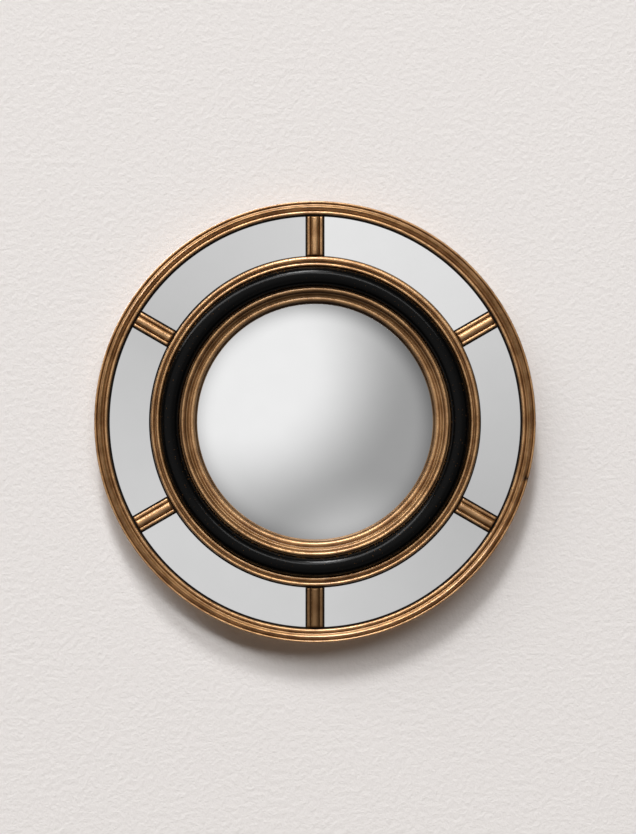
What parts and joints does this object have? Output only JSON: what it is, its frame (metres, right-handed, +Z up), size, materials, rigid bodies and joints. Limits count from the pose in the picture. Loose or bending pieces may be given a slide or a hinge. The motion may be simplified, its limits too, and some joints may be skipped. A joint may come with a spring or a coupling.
{
  "type": "convex butlers mirror",
  "caption": "Round wall mirror: a domed centre glass in gilt and ebonised rings, ringed by flat glasses between reeded bars, with a swinging hanger ring on its back.",
  "frame": {"origin": "the point on the wall where the hook stands that the raised hanger ring drops over, 180 mm above the mirror's centre", "axes": "+Y into the wall, so the mirror faces -Y; +Z up; +X to the right as seen from the front"},
  "size_m": [0.4, 0.043, 0.4],
  "materials": {
    "gilt": "toned antique gilding over turned wood",
    "ebonised": "black stain under satin polish",
    "flat_glass": "silvered flat glass",
    "domed_glass": "silvered domed glass",
    "board": "bare medium density fibreboard",
    "hardboard": "smooth hardboard",
    "zinc_plated_steel": "bright zinc plate",
    "felt": "pressed wool felt",
    "rubber": "matt moulded rubber"
  },
  "bodies": {
    "mirror": {"outer_ring": "gilt", "inner_gilt_ring": "gilt", "ebonised_ring": "ebonised", "sight_ring": "gilt", "convex_glass": "domed_glass", "glazing_bar_1": "gilt", "glazing_bar_2": "gilt", "glazing_bar_3": "gilt", "glazing_bar_4": "gilt", "glazing_bar_5": "gilt", "glazing_bar_6": "gilt", "mirror_segment_1": "flat_glass", "mirror_segment_2": "flat_glass", "mirror_segment_3": "flat_glass", "mirror_segment_4": "flat_glass", "mirror_segment_5": "flat_glass", "mirror_segment_6": "flat_glass", "back_board": "board", "frame_screw_1": "zinc_plated_steel", "frame_screw_2": "zinc_plated_steel", "frame_screw_3": "zinc_plated_steel", "frame_screw_4": "zinc_plated_steel", "frame_screw_5": "zinc_plated_steel", "frame_screw_6": "zinc_plated_steel", "bar_screw_1": "zinc_plated_steel", "bar_screw_2": "zinc_plated_steel", "bar_screw_3": "zinc_plated_steel", "bar_screw_4": "zinc_plated_steel", "bar_screw_5": "zinc_plated_steel", "bar_screw_6": "zinc_plated_steel", "ebonised_ring_screw_1": "zinc_plated_steel", "ebonised_ring_screw_2": "zinc_plated_steel", "ebonised_ring_screw_3": "zinc_plated_steel", "centre_back_plate": "hardboard", "glass_packing_ring": "felt", "turn_button_screw_1": "zinc_plated_steel", "turn_button_screw_2": "zinc_plated_steel", "turn_button_screw_3": "zinc_plated_steel", "turn_button_screw_4": "zinc_plated_steel", "hanger_strap": "zinc_plated_steel", "hanger_screw_1": "zinc_plated_steel", "hanger_screw_2": "zinc_plated_steel", "wall_pad_1": "rubber", "wall_pad_2": "rubber", "wall_pad_3": "rubber", "wall_pad_4": "rubber"},
    "hanger_ring": {"hanger_ring": "zinc_plated_steel"},
    "turn_button_1": {"turn_button_1": "zinc_plated_steel"},
    "turn_button_2": {"turn_button_2": "zinc_plated_steel"},
    "turn_button_3": {"turn_button_3": "zinc_plated_steel"},
    "turn_button_4": {"turn_button_4": "zinc_plated_steel"}
  },
  "joints": [
    {"name": "hanger_ring_swing", "type": "hinge", "parent": "mirror", "child": "hanger_ring", "pos_m": [0, -0.0037, -0.015], "axis": [1, 0, 0], "range_deg": [0, 180]},
    {"name": "turn_button_1_turn", "type": "hinge", "parent": "mirror", "child": "turn_button_1", "pos_m": [0.08931, -0.0061, -0.09069], "axis": [0, 1, 0], "continuous": true},
    {"name": "turn_button_2_turn", "type": "hinge", "parent": "mirror", "child": "turn_button_2", "pos_m": [-0.08931, -0.0061, -0.09069], "axis": [0, 1, 0], "continuous": true},
    {"name": "turn_button_3_turn", "type": "hinge", "parent": "mirror", "child": "turn_button_3", "pos_m": [-0.08931, -0.0061, -0.26931], "axis": [0, 1, 0], "continuous": true},
    {"name": "turn_button_4_turn", "type": "hinge", "parent": "mirror", "child": "turn_button_4", "pos_m": [0.08931, -0.0061, -0.26931], "axis": [0, 1, 0], "continuous": true}
  ]
}
